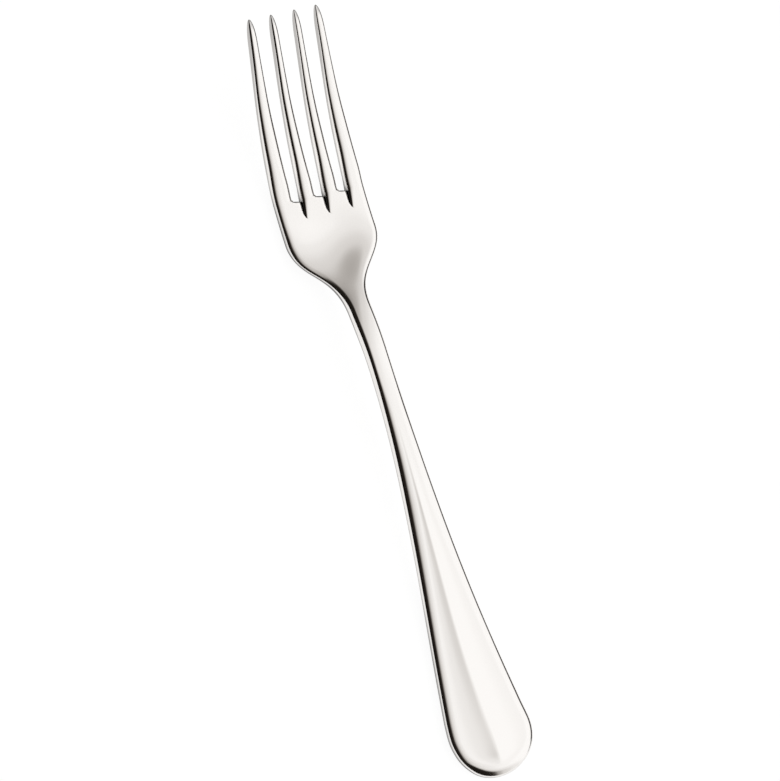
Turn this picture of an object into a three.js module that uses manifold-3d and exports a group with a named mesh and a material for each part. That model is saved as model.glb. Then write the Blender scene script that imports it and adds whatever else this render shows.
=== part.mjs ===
// A four-tined serving fork, forged in one piece from polished stainless steel. It lies on its back with its
// points along +Y. The forging is built as its seven zones: handle, neck, palm and four tines, which meet face
// to face on flat planes across the fork. A station is a distance from the end of the handle to the points.
import * as THREE from "three";
import { mergeVertices } from "three/addons/utils/BufferGeometryUtils.js";
import Module from "manifold-3d";

const wasm = await Module();
wasm.setup();

// Lengths of the zones, in millimetres
const HANDLE_LENGTH = 128.5;
const NECK_LENGTH = 18.3;
const PALM_LENGTH = 38.1;
const TINE_LENGTH = 54.4;

// Outline seen from above
const HANDLE_WIDTH = 26.5;
const HANDLE_WIDEST_AT = 14;
const HANDLE_END_FULLNESS = 0.58;
const FLANK_PULL_AT_HANDLE = 6;
const FLANK_PULL_AT_NECK = 52;
const NECK_WIDTH = 6.76;
const NECK_WIDTH_AT_SHOULDER = 7.36;
const SHOULDER_LENGTH = 25.4;
const SHOULDER_PULL_AT_NECK = 14;
const SHOULDER_PULL_AT_HEAD = 11;
const HEAD_WIDTH = 29.5;
const HEAD_WIDTH_AT_POINTS = 24.7;

// Side view, as heights of the back above the table
const FLAT_BACK_LENGTH = 30;
const ARCH_HEIGHT = 6.2;
const ARCH_TOP_INTO_NECK = 5;
const ARCH_RISE_PULL = 30;
const ARCH_FALL_PULL = 15.6;
const PALM_LOW_BEFORE_SLOTS = 11.1;
const PALM_RISE_PULL = 25;
const POINT_HEIGHT = 19.5;
const POINT_SLOPE = 0.42;
const POINT_PULL = 20;

// Thickness, from the back to the front at the edges
const HANDLE_THICKNESS = 3.6;
const HANDLE_EVEN_LENGTH = 34;
const NECK_THICKNESS = 4.4;
const HEAD_THICKNESS = 3.7;
const POINT_THICKNESS = 2;

// Ridge down the front of the handle, and the hollow in the palm
const RIDGE_HEIGHT = 0.75;
const RIDGE_POINT_AT = 7.2;
const RIDGE_POINT_RUN = 4;
const RIDGE_FADE_LENGTH = 110;
const FACET_HOLLOWNESS = 2.3;
const PALM_HOLLOW = 0.45;
const PALM_HOLLOW_BEFORE_SLOTS = 14.5;
const PALM_HOLLOW_LENGTH = 27;

// Rolled front edges, and the smaller radius round the back
const HANDLE_ROLL = 2.8;
const NECK_ROLL = 1.4;
const HEAD_ROLL = 2.2;
const HANDLE_ROLL_DEPTH = 1.2;
const HEAD_ROLL_DEPTH = 0.9;
const BACK_RADIUS = 0.9;
const END_ROLL = 5;
const END_NOSE_HEIGHT = 0.9;

// Tines and the slots between them; a taper is how much of the narrowing is done at each pull of its curve
const INNER_TINE_WIDTH = 3.94;
const INNER_TINE_WIDTH_AT_POINT = 2.5;
const INNER_TINE_TAPER = [0.33, 0.65];
const OUTER_TINE_WIDTH_AT_POINT = 2.8;
const OUTER_TINE_TAPER = [0.03, 0.66];
const SLOT_WIDTH = 3.76;
const GROOVE_LENGTH = 6.8;
const GROOVE_DEPTH = 1.5;
const POINT_LENGTH = 5.6;

// Fineness of the facets
const BAR_STEPS = { back: 4, backCorner: 3, roll: 6, front: 14 };
const TINE_STEPS = { back: 2, backCorner: 2, roll: 4, front: 4 };
const HANDLE_END_RINGS = 9;
const HANDLE_RINGS = 26;
const NECK_RINGS = 6;
const PALM_RINGS = 22;
const TINE_RINGS = 15;
const POINT_RINGS = 5;

// Largest shares of the half width and of the thickness that a rolled edge and the radius of the back take up
const ROLL_WIDTH_SHARE = 0.86;
const ROLL_DEPTH_SHARE = 0.6;
const BACK_SHARE = 0.3;
const CUT_MARGIN = 2;

const neckStart = HANDLE_LENGTH;
const shoulderStart = neckStart + NECK_LENGTH;
const shoulderTop = shoulderStart + SHOULDER_LENGTH;
const slotRoot = shoulderStart + PALM_LENGTH;
const point = slotRoot + TINE_LENGTH;
const archTop = neckStart + ARCH_TOP_INTO_NECK;
const palmLow = slotRoot - PALM_LOW_BEFORE_SLOTS;

// A Bezier stretch between two [station, value] points that leaves and arrives level, by its pulls.
function ease([from, low], [to, high], pullOut = (to - from) / 3, pullIn = pullOut) {
  return [[from, low], [from + pullOut, low], [to - pullIn, high], [to, high]];
}

// A value that changes along the fork, read at a station from Bezier stretches laid end to end.
function alongFork(...stretches) {
  const curves = stretches.map((stretch) => {
    const corners = stretch.map(([station, value]) => new THREE.Vector2(station, value));
    return new THREE.CubicBezierCurve(...corners);
  });
  return (station) => {
    const curve = curves.find(({ v3 }) => station <= v3.x) ?? curves.at(-1);
    let before = 0;
    let after = 1;
    for (let halving = 0; halving < 40; halving += 1) {
      const middle = (before + after) / 2;
      if (curve.getPoint(middle).x < station) before = middle;
      else after = middle;
    }
    return curve.getPoint(after).y;
  };
}

const handleHalf = HANDLE_WIDTH / 2;
const neckHalf = NECK_WIDTH / 2;
const shoulderHalf = NECK_WIDTH_AT_SHOULDER / 2;
const headHalf = HEAD_WIDTH / 2;
const halfWidth = alongFork(
  [
    [0, 0],
    [0, handleHalf * HANDLE_END_FULLNESS],
    [HANDLE_WIDEST_AT * (1 - HANDLE_END_FULLNESS), handleHalf],
    [HANDLE_WIDEST_AT, handleHalf],
  ],
  ease([HANDLE_WIDEST_AT, handleHalf], [neckStart, neckHalf], FLANK_PULL_AT_HANDLE, FLANK_PULL_AT_NECK),
  ease([neckStart, neckHalf], [shoulderStart, shoulderHalf]),
  ease([shoulderStart, shoulderHalf], [shoulderTop, headHalf], SHOULDER_PULL_AT_NECK, SHOULDER_PULL_AT_HEAD),
  ease([shoulderTop, headHalf], [slotRoot, headHalf]),
  [
    [slotRoot, headHalf],
    [slotRoot + TINE_LENGTH / 4, headHalf],
    [point - TINE_LENGTH / 3, (headHalf + HEAD_WIDTH_AT_POINTS) / 3],
    [point, HEAD_WIDTH_AT_POINTS / 2],
  ],
);

const backHeight = alongFork(
  ease([0, 0], [FLAT_BACK_LENGTH, 0]),
  ease([FLAT_BACK_LENGTH, 0], [archTop, ARCH_HEIGHT], ARCH_RISE_PULL),
  ease([archTop, ARCH_HEIGHT], [palmLow, 0], ARCH_FALL_PULL),
  [
    [palmLow, 0],
    [palmLow + PALM_RISE_PULL, 0],
    [point - POINT_PULL, POINT_HEIGHT - POINT_PULL * POINT_SLOPE],
    [point, POINT_HEIGHT],
  ],
);

const thickness = alongFork(
  ease([0, HANDLE_THICKNESS], [HANDLE_EVEN_LENGTH, HANDLE_THICKNESS]),
  ease([HANDLE_EVEN_LENGTH, HANDLE_THICKNESS], [neckStart, NECK_THICKNESS]),
  ease([neckStart, NECK_THICKNESS], [shoulderStart, NECK_THICKNESS]),
  ease([shoulderStart, NECK_THICKNESS], [shoulderTop, HEAD_THICKNESS]),
  ease([shoulderTop, HEAD_THICKNESS], [slotRoot, HEAD_THICKNESS]),
  ease([slotRoot, HEAD_THICKNESS], [point, POINT_THICKNESS]),
);

const rollWidth = alongFork(
  ease([0, HANDLE_ROLL], [HANDLE_EVEN_LENGTH, HANDLE_ROLL]),
  ease([HANDLE_EVEN_LENGTH, HANDLE_ROLL], [neckStart, NECK_ROLL]),
  ease([neckStart, NECK_ROLL], [shoulderStart, NECK_ROLL]),
  ease([shoulderStart, NECK_ROLL], [shoulderTop, HEAD_ROLL]),
  ease([shoulderTop, HEAD_ROLL], [point, HEAD_ROLL]),
);

const rollDepth = alongFork(
  ease([0, HANDLE_ROLL_DEPTH], [HANDLE_EVEN_LENGTH, HANDLE_ROLL_DEPTH]),
  ease([HANDLE_EVEN_LENGTH, HANDLE_ROLL_DEPTH], [neckStart, HEAD_ROLL_DEPTH]),
  ease([neckStart, HEAD_ROLL_DEPTH], [point, HEAD_ROLL_DEPTH]),
);

const ridgeBase = RIDGE_POINT_AT - RIDGE_POINT_RUN;
const ridgeHeight = alongFork(
  ease([0, 0], [ridgeBase, 0]),
  ease([ridgeBase, 0], [RIDGE_POINT_AT, RIDGE_HEIGHT]),
  ease([RIDGE_POINT_AT, RIDGE_HEIGHT], [RIDGE_POINT_AT + RIDGE_FADE_LENGTH, 0]),
  ease([RIDGE_POINT_AT + RIDGE_FADE_LENGTH, 0], [slotRoot, 0]),
);

const hollowMiddle = slotRoot - PALM_HOLLOW_BEFORE_SLOTS;
const hollowDepth = (station) => {
  const share = Math.min(1, Math.abs(station - hollowMiddle) / (PALM_HOLLOW_LENGTH / 2));
  return PALM_HOLLOW * (1 - share ** 2) ** 2;
};

// How far a rounded end has opened after going in by a share of its depth: a quarter of an ellipse.
const rounded = (share) => (share >= 1 ? 1 : Math.sqrt(1 - (1 - share) ** 2));

// The cross-section between two edges, counter-clockwise seen from the handle, as its four sides in order.
function sectionSides(station, { left, right, back, front, relief = () => 0 }, steps) {
  const half = (right - left) / 2;
  const full = front - back;
  const roll = Math.min(rollWidth(station), half * ROLL_WIDTH_SHARE);
  const depth = Math.min(rollDepth(station), full * ROLL_DEPTH_SHARE);
  const backRadius = Math.min(BACK_RADIUS, full * BACK_SHARE, half * BACK_SHARE);
  const at = (x, z) => new THREE.Vector3(x, station, z);
  const quarter = (x, z, radiusX, radiusZ, start, count) =>
    Array.from({ length: count + 1 }, (_, step) => {
      const angle = start + (Math.PI / 2) * (step / count);
      return at(x + radiusX * Math.cos(angle), z + radiusZ * Math.sin(angle));
    });
  const across = (from, to, count, height) =>
    Array.from({ length: count - 1 }, (_, step) => {
      const share = (step + 1) / count;
      return at(from + (to - from) * share, height(2 * share - 1));
    });
  const { backCorner, roll: rollSteps } = steps;
  return {
    back: across(left + backRadius, right - backRadius, steps.back, () => back),
    right: [
      ...quarter(right - backRadius, back + backRadius, backRadius, backRadius, -Math.PI / 2, backCorner),
      ...quarter(right - roll, front - depth, roll, depth, 0, rollSteps),
    ],
    front: across(right - roll, left + roll, steps.front, (share) => front + relief(share)),
    left: [
      ...quarter(left + roll, front - depth, roll, depth, Math.PI / 2, rollSteps),
      ...quarter(left + backRadius, back + backRadius, backRadius, backRadius, Math.PI, backCorner),
    ],
  };
}

const ringOf = ({ back, right, front, left }) => [...back, ...right, ...front, ...left];

// Cross-section of the handle, neck or palm
function barRing(station) {
  const half = halfWidth(station);
  const full = thickness(station);
  const low = backHeight(station);
  const noseHeight = Math.min(END_NOSE_HEIGHT, full / 2);
  const ridge = ridgeHeight(station);
  const hollow = hollowDepth(station);
  const edges = {
    left: -half,
    right: half,
    back: low + noseHeight * (1 - rounded(station / noseHeight)),
    front: low + noseHeight + (full - noseHeight) * rounded(station / END_ROLL),
    relief: (share) => ridge * (1 - Math.abs(share)) ** FACET_HOLLOWNESS - hollow * (1 - share ** 2) ** 2,
  };
  return ringOf(sectionSides(station, edges, BAR_STEPS));
}

// Width of a tine from its root to its point
function tineTaper(atRoot, atPoint, [early, late]) {
  const reach = TINE_LENGTH / 3;
  return alongFork([
    [slotRoot, atRoot],
    [slotRoot + reach, atRoot + (atPoint - atRoot) * early],
    [point - reach, atRoot + (atPoint - atRoot) * late],
    [point, atPoint],
  ]);
}

const innerTineMiddle = (SLOT_WIDTH + INNER_TINE_WIDTH) / 2;
const outerTineStart = innerTineMiddle + INNER_TINE_WIDTH / 2 + SLOT_WIDTH;
const innerTineWidth = tineTaper(INNER_TINE_WIDTH, INNER_TINE_WIDTH_AT_POINT, INNER_TINE_TAPER);
const outerTineRoot = headHalf - outerTineStart;
const outerTineWidth = tineTaper(outerTineRoot, OUTER_TINE_WIDTH_AT_POINT, OUTER_TINE_TAPER);
const TINES = [
  { name: "tine_left_outer", side: -1, width: outerTineWidth, outer: true },
  { name: "tine_left_inner", side: -1, width: innerTineWidth, outer: false },
  { name: "tine_right_inner", side: 1, width: innerTineWidth, outer: false },
  { name: "tine_right_outer", side: 1, width: outerTineWidth, outer: true },
];

// Cross-section of a tine: side is -1 left of the middle of the fork and 1 right of it
function tineSides(station, { side, width, outer }) {
  const full = width(station);
  const middle = side * (outer ? halfWidth(station) - full / 2 : innerTineMiddle);
  const toPoint = rounded((point - station) / POINT_LENGTH);
  const half = (full / 2) * toPoint;
  const low = backHeight(station);
  const depth = thickness(station);
  const edges = {
    left: middle - half,
    right: middle + half,
    back: low + (depth * (1 - toPoint)) / 2,
    front: low + (depth * (1 + toPoint)) / 2,
  };
  return sectionSides(station, edges, TINE_STEPS);
}

function average(points) {
  const total = points.reduce((sum, next) => sum.add(next), new THREE.Vector3());
  return total.divideScalar(points.length);
}

// A closed skin over rings of equally many points, with a fan to a middle point at each end.
function loft(rings, start = average(rings[0]), end = average(rings.at(-1))) {
  const count = rings[0].length;
  const startIndex = rings.length * count;
  const endIndex = startIndex + 1;
  const index = [];
  for (let place = 0; place < count; place += 1) {
    const next = (place + 1) % count;
    for (let ring = 0; ring + 1 < rings.length; ring += 1) {
      const low = ring * count;
      const high = low + count;
      index.push(low + place, high + place, high + next);
      index.push(low + place, high + next, low + next);
    }
    const last = startIndex - count;
    index.push(startIndex, place, next);
    index.push(endIndex, last + next, last + place);
  }
  const geometry = new THREE.BufferGeometry();
  geometry.setFromPoints([...rings.flat(), start, end]);
  geometry.setIndex(index);
  return geometry;
}

// Stations from one place to another in equal steps, both ends included.
function evenStations(from, to, steps) {
  return Array.from({ length: steps + 1 }, (_, step) => from + ((to - from) * step) / steps);
}

// Shares of a rounded end, close together where it closes: from just inside the tip to the full section.
function endShares(rings) {
  return Array.from({ length: rings }, (_, ring) => 1 - Math.cos((Math.PI / 2) * ((ring + 1) / rings)));
}

function handleGeometry() {
  const endStations = endShares(HANDLE_END_RINGS).map((share) => share * HANDLE_WIDEST_AT);
  const flankStations = evenStations(HANDLE_WIDEST_AT, neckStart, HANDLE_RINGS).slice(1);
  const rings = [...endStations, ...flankStations].map(barRing);
  const nose = new THREE.Vector3(0, 0, backHeight(0) + END_NOSE_HEIGHT);
  return loft(rings, nose);
}

function neckGeometry() {
  return loft(evenStations(neckStart, shoulderStart, NECK_RINGS).map(barRing));
}

function tineGeometry(tine) {
  const shaft = evenStations(slotRoot, point - POINT_LENGTH, TINE_RINGS);
  const closing = endShares(POINT_RINGS).slice(0, -1).reverse().map((share) => point - share * POINT_LENGTH);
  const rings = [...shaft, ...closing].map((station) => ringOf(tineSides(station, tine)));
  const tip = average(rings.at(-1));
  tip.y = point;
  tip.z = backHeight(point) + thickness(point) / 2;
  return loft(rings, undefined, tip);
}

// Solids for cutting, from closed skins whose shared corners are merged
function solidOf(geometry) {
  const bare = geometry.clone();
  bare.deleteAttribute("normal");
  bare.deleteAttribute("uv");
  const merged = mergeVertices(bare);
  const vertProperties = new Float32Array(merged.attributes.position.array);
  const triVerts = new Uint32Array(merged.index.array);
  return new wasm.Manifold(new wasm.Mesh({ numProp: 3, vertProperties, triVerts }));
}

function geometryOf(solid) {
  const { vertProperties, triVerts } = solid.getMesh();
  const geometry = new THREE.BufferGeometry();
  geometry.setAttribute("position", new THREE.BufferAttribute(vertProperties, 3));
  geometry.setIndex(new THREE.BufferAttribute(triVerts, 1));
  return geometry;
}

// The space between two neighbouring tines at their roots, run back into the palm as a groove whose floor climbs
// to the front of the palm. Below the groove the slot ends at a wall.
function slotRunOut(leftTine, rightTine) {
  const leftSide = tineSides(slotRoot, leftTine).right;
  const rightSide = tineSides(slotRoot, rightTine).left;
  const grooveStart = slotRoot - GROOVE_LENGTH;
  const low = backHeight(slotRoot) + thickness(slotRoot) - GROOVE_DEPTH;
  const high = backHeight(grooveStart) + thickness(grooveStart);
  const slope = (high - low) / GROOVE_LENGTH;
  const floor = backHeight(slotRoot) - CUT_MARGIN;
  const ceiling = high + CUT_MARGIN;
  const outline = [
    new THREE.Vector2(leftSide[0].x, floor),
    ...leftSide.map(({ x, z }) => new THREE.Vector2(x, z)),
    new THREE.Vector2(leftSide.at(-1).x, ceiling),
    new THREE.Vector2(rightSide[0].x, ceiling),
    ...rightSide.map(({ x, z }) => new THREE.Vector2(x, z)),
    new THREE.Vector2(rightSide.at(-1).x, floor),
  ];
  const passage = new THREE.ExtrudeGeometry(new THREE.Shape(outline), {
    depth: GROOVE_LENGTH + 2 * CUT_MARGIN,
    bevelEnabled: false,
  });
  passage.rotateX(Math.PI / 2);
  passage.translate(0, slotRoot + CUT_MARGIN, 0);
  const floorOutline = [
    new THREE.Vector2(slotRoot + 2 * CUT_MARGIN, low - 2 * CUT_MARGIN * slope),
    new THREE.Vector2(slotRoot + 2 * CUT_MARGIN, ceiling),
    new THREE.Vector2(grooveStart - CUT_MARGIN / slope, ceiling),
  ];
  const above = new THREE.ExtrudeGeometry(new THREE.Shape(floorOutline), {
    depth: HEAD_WIDTH,
    bevelEnabled: false,
  });
  above.rotateX(Math.PI / 2);
  above.rotateZ(Math.PI / 2);
  above.translate(-headHalf, 0, 0);
  return solidOf(passage).intersect(solidOf(above));
}

function palmGeometry() {
  const blank = loft(evenStations(shoulderStart, slotRoot, PALM_RINGS).map(barRing));
  let palm = solidOf(blank);
  for (let slot = 0; slot + 1 < TINES.length; slot += 1) {
    palm = palm.subtract(slotRunOut(TINES[slot], TINES[slot + 1]));
  }
  return geometryOf(palm);
}

function forgedZone(name, geometry) {
  geometry.computeVertexNormals();
  const steel = new THREE.MeshStandardMaterial({ color: 0xe8e4df, roughness: 0.14, metalness: 1 });
  const mesh = new THREE.Mesh(geometry, steel);
  mesh.name = name;
  return mesh;
}

const fork = new THREE.Group();
fork.add(forgedZone("handle", handleGeometry()));
fork.add(forgedZone("neck", neckGeometry()));
fork.add(forgedZone("palm", palmGeometry()));
for (const tine of TINES) fork.add(forgedZone(tine.name, tineGeometry(tine)));
fork.position.y = -point / 2;

export default fork;
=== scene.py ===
"""A four-tined serving fork, forged in one piece and mirror polished, lying on its back on a white table.

The fork is made as a flat blank, with its outline, rolled edges and slots, and is then pressed to shape: the
press lifts the arch of the handle and the tines, raises the ridge and the crown of the neck, and sinks the
palm.
A station is a distance in millimetres from the end of the handle towards the points of the tines.
"""
import math

import bmesh
import bpy
import numpy as np
from mathutils import Matrix, Vector


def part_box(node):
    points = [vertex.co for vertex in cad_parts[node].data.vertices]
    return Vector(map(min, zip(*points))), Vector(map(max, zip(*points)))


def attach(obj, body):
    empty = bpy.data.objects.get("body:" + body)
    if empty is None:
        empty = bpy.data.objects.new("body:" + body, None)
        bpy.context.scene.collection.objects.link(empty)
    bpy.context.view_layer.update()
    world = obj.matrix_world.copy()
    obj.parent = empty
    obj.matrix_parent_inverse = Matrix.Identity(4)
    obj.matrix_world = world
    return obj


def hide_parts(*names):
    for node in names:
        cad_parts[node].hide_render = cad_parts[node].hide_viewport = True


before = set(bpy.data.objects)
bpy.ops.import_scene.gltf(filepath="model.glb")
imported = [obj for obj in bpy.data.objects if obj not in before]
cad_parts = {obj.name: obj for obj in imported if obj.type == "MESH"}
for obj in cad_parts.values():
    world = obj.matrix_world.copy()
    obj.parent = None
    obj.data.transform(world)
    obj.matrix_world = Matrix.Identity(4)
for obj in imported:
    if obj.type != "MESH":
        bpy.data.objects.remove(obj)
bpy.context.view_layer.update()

MM = 0.001
FORK = "serving_fork"
ZONES = (
    "handle", "neck", "palm", "tine_left_outer", "tine_left_inner", "tine_right_inner", "tine_right_outer",
)


def zone_corners(node):
    """Lowest and highest corner of a zone of the forging, in millimetres."""
    low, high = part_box(node)
    return np.array(low) / MM, np.array(high) / MM


# Sizes that the frame gives
handle_low, handle_high = zone_corners("handle")
neck_low = zone_corners("neck")[0]
palm_low, palm_high = zone_corners("palm")
inner_low, inner_high = zone_corners("tine_right_inner")
outer_low = zone_corners("tine_right_outer")[0]
handle_end = handle_low[1]
neck_start = neck_low[1] - handle_end
shoulder_start = palm_low[1] - handle_end
slot_root = palm_high[1] - handle_end
point = inner_high[1] - handle_end
handle_half = handle_high[0]
head_half = palm_high[0]
slot_half = inner_low[0]
inner_edge = inner_high[0]
outer_edge = outer_low[0]

# Outline seen from above
HANDLE_WIDEST_AT = 14.0
HANDLE_END_FULLNESS = 0.58
FLANK_PULL_AT_HANDLE = 6.0
FLANK_PULL_AT_NECK = 52.0
NECK_HALF = 3.28
SHOULDER_HALF = 3.58
SHOULDER_LENGTH = 25.4
SHOULDER_PULL_AT_NECK = 14.0
SHOULDER_PULL_AT_HEAD = 11.0
POINTS_HALF = 12.35
HEAD_PULL_SHARE = 0.25
# How much wider each tine is at its root, on the sides that face a slot
ROOT_FULLNESS = 0.2
INNER_TINE_WIDTH_AT_POINT = 2.38
INNER_TINE_TAPER = (0.4, 0.68)
OUTER_TINE_WIDTH_AT_POINT = 2.65
OUTER_TINE_TAPER = (0.08, 0.68)
POINT_LENGTH = 6.4
POINT_CENTRE = 0.25
# How far the middle stands off to the right by station, or to the left where it is below nothing
SWAY = (
    (0, 0), (5, 0.42), (9, 0.42), (21, 0), (neck_start - 28, 0), (neck_start + 4, -0.15),
    (shoulder_start, -0.35), (shoulder_start + 8, -0.5), (shoulder_start + 15, -0.5),
    (shoulder_start + 24, -0.05), (slot_root, 0), (point, 0),
)

# Side view: heights of the back above the table
FLAT_BACK_LENGTH = 30.0
ARCH_HEIGHT = 6.2
ARCH_TOP_INTO_NECK = 2.8
ARCH_RISE_PULL = 30.0
ARCH_FALL_PULLS = (19.8, 21.4)
PALM_LOW_BEFORE_SLOTS = 8.4
PALM_RISE_PULL = 25.0
TINE_RISE = 19.5
POINT_SLOPE = 0.42
POINT_PULL = 20.0

# Thickness of the blank
HANDLE_THICKNESS = 3.6
HANDLE_EVEN_LENGTH = 34.0
NECK_THICKNESS = 4.4
HEAD_THICKNESS = 3.7
POINT_THICKNESS = 2.0

# What the press raises and sinks on the front
RIDGE_HEIGHT = 0.75
RIDGE_POINT_AT = 7.2
RIDGE_POINT_RUN = 4.0
RIDGE_FADE_LENGTH = 110.0
RIDGE_SOFTNESS = 0.5
FACET_HOLLOWNESS = 2.3
RIDGE_SIDE = ((0, -0.4), (40, -1.2), (80, -0.7), (120, -0.6))
CROWN_HEIGHT = 0.34
CROWN_REACH = 35.0
PALM_HOLLOW = 0.5
PALM_HOLLOW_BEFORE_SLOTS = 13.0
PALM_HOLLOW_REACH = 17.4
PALM_HOLLOW_SIDE = -0.35
PALM_HOLLOW_RIM = 2.1

# Rolled front edges, and the smaller radius round the back
END_ROLL = 5.0
END_ROLL_DEPTH = 2.3
END_ROLL_LENGTH = 9.0
HANDLE_ROLL = 2.8
HANDLE_ROLL_DEPTH = 1.2
FLANK_ROLL = 3.4
FLANK_ROLL_DEPTH = 1.5
FLANK_ROLL_AT = 98.0
# How deep the roll on the right is, beside that on the left
RIGHT_ROLL_SHARE = (
    (0, 1), (HANDLE_WIDEST_AT, 1), (48, 0.8), (FLANK_ROLL_AT, 0.65), (neck_start, 1), (point, 1),
)
NECK_ROLL = 1.4
NECK_ROLL_DEPTH = 0.9
HEAD_ROLL = 2.2
HEAD_ROLL_DEPTH = 0.9
BACK_RADIUS = 0.9
BACK_RADIUS_BY_STATION = (
    (0, BACK_RADIUS), (shoulder_start - 10, BACK_RADIUS), (shoulder_start, 1.4), (shoulder_start + 9, 2.3),
    (shoulder_start + 17, 2.2), (shoulder_start + 26, BACK_RADIUS), (point, BACK_RADIUS),
)
# The most of the half width that a roll takes up
ROLL_LIMIT = 0.65

# Painted shade: a dark line painted along the back edge, and its place between clean steel and a painted dark
# notch bottom
EDGE_SHADE_HEIGHT = 1.8
EDGE_SHADE_FADE = 0.4
EDGE_SHADE_SHARE = 0.5
EDGE_SHADE_BY_STATION = (
    (0, 0.7), (16, 0.35), (neck_start, 0.4), (shoulder_start + 8, 1),
    (slot_root - 15, 0.8), (slot_root + 10, 0.5),
)

# Slots between the tines, which run out into the palm as notches along the tine on their right
SLOT_ROLL = 1.8
GROOVE_LENGTH = {"left": 0.7, "right": 6.2}
GROOVE_DEPTH = {"left": 1.4, "right": 1.9}
GROOVE_STEEPENING = {"left": 1.3, "right": 0.8}
GROOVE_BANK = 10
GROOVE_BANK_LEAST = 0.1
GROOVE_CLOSING = 0.7
# Depths between which a notch turns from polished to painted dark shade
NOTCH_SHADE_DEPTHS = (0.15, 0.5)
SLOT_COLUMN_CROWDING = 2.2
GROOVE_LIP = 0.3
GROOVE_TIP_ROLL = 0.5
GROOVE_NARROWING = 0.85
GROOVE_FILLET = 0.4
GROOVE_FILLET_SHARE = 0.6
SLOT_CORNER_RADIUS = 0.4
SLOT_END_SHIFT = {"left": 0.25, "right": -0.45}
ROOT_EASING_LENGTH = 4.0
ROOT_CORNER_SHARPNESS = 4

# Tines grow nearly round towards their points: shares of their half width and of their thickness
ROUNDING_LENGTH = 34.0
ROUND_ROLL = 0.94
ROUND_ROLL_DEPTH = 0.3
ROUND_BACK = 0.4
ROUND_BACK_DEPTH = 0.3
# How flat the roll on the left of each tine is, by the distance from the root, where one is round
TINE_BEVELS = (((30, 1), (50, 1.3)), ((30, 1), (50, 1.25)), ((6, 1), (30, 0.85)), ((6, 1), (30, 0.82)))
# How the sides lean in towards the front, by the distance from the root
LEFT_LEAN = ((0, 0), (14, 0.22), (28, 0.24), (46, 0.44))
RIGHT_LEAN = ((0, 0), (6, -0.1), (17, -0.1), (32, 0))

# Fineness of the skin
CURVE_SAMPLES = 2000
SLOPE_REACH = 0.05
END_OUTLINE_REACH = 1.5
END_ROWS = 34
ROW_STEP = {"handle": 0.9, "neck": 0.6, "palm": 0.45, "groove": 0.35, "tine": 0.7}
LIP_ROWS = 6
POINT_ROWS = 16
COLUMNS = {
    "back": 6, "slot": 8, "face": 6, "roll": 16, "upper_wall": 3, "lower_wall": 3, "corner": 6, "fillet": 5,
}
EVEN_SPLIT = 0.5
SEAM_WIDTH = 0.002
SLIVER_WIDTH = SEAM_WIDTH / 10

shoulder_top = shoulder_start + SHOULDER_LENGTH
groove_start = slot_root - GROOVE_LENGTH["right"]
arch_top = neck_start + ARCH_TOP_INTO_NECK
palm_low_station = slot_root - PALM_LOW_BEFORE_SLOTS
tine_length = point - slot_root


def ease(start, end, pull_out=None, pull_in=None):
    """A Bezier stretch between two (station, value) points that leaves and arrives level, by its pulls."""
    (first, low), (last, high) = start, end
    pull_out = (last - first) / 3 if pull_out is None else pull_out
    pull_in = pull_out if pull_in is None else pull_in
    return [(first, low), (first + pull_out, low), (last - pull_in, high), (last, high)]


def along_fork(*stretches):
    """A value that changes along the fork, read at stations from Bezier stretches laid end to end."""
    share = np.linspace(0, 1, CURVE_SAMPLES)[:, None]
    weights = ((1 - share) ** 3, 3 * share * (1 - share) ** 2, 3 * share**2 * (1 - share), share**3)
    curve = np.concatenate([
        sum(weight * np.array(corner) for weight, corner in zip(weights, stretch)) for stretch in stretches
    ])
    return lambda station: np.interp(station, curve[:, 0], curve[:, 1])


def through(*places):
    """A value that eases from each (station, value) place to the next."""
    return along_fork(*(ease(start, end) for start, end in zip(places, places[1:])))


half_width = along_fork(
    [
        (0, 0),
        (0, handle_half * HANDLE_END_FULLNESS),
        (HANDLE_WIDEST_AT * (1 - HANDLE_END_FULLNESS), handle_half),
        (HANDLE_WIDEST_AT, handle_half),
    ],
    ease((HANDLE_WIDEST_AT, handle_half), (neck_start, NECK_HALF), FLANK_PULL_AT_HANDLE, FLANK_PULL_AT_NECK),
    ease((neck_start, NECK_HALF), (shoulder_start, SHOULDER_HALF)),
    ease(
        (shoulder_start, SHOULDER_HALF), (shoulder_top, head_half), SHOULDER_PULL_AT_NECK, SHOULDER_PULL_AT_HEAD
    ),
    ease((shoulder_top, head_half), (slot_root, head_half)),
    [
        (slot_root, head_half),
        (slot_root + tine_length * HEAD_PULL_SHARE, head_half),
        (point - tine_length / 3, (head_half + 2 * POINTS_HALF) / 3),
        (point, POINTS_HALF),
    ],
)
arch_lift = along_fork(
    ease((0, 0), (FLAT_BACK_LENGTH, 0)),
    ease((FLAT_BACK_LENGTH, 0), (arch_top, 1), ARCH_RISE_PULL),
    ease((arch_top, 1), (palm_low_station, 0), *ARCH_FALL_PULLS),
    ease((palm_low_station, 0), (point, 0)),
)
tine_lift = along_fork(
    ease((0, 0), (palm_low_station, 0)),
    [
        (palm_low_station, 0),
        (palm_low_station + PALM_RISE_PULL, 0),
        (point - POINT_PULL, 1 - POINT_PULL * POINT_SLOPE / TINE_RISE),
        (point, 1),
    ],
)
thickness = through(
    (0, HANDLE_THICKNESS),
    (HANDLE_EVEN_LENGTH, HANDLE_THICKNESS),
    (neck_start, NECK_THICKNESS),
    (shoulder_start, NECK_THICKNESS),
    (shoulder_top, HEAD_THICKNESS),
    (slot_root, HEAD_THICKNESS),
    (point, POINT_THICKNESS),
)
roll_width = through(
    (0, END_ROLL),
    (END_ROLL_LENGTH, HANDLE_ROLL),
    (HANDLE_EVEN_LENGTH, HANDLE_ROLL),
    (FLANK_ROLL_AT, FLANK_ROLL),
    (neck_start, NECK_ROLL),
    (shoulder_start, NECK_ROLL),
    (shoulder_top, HEAD_ROLL),
)
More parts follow.
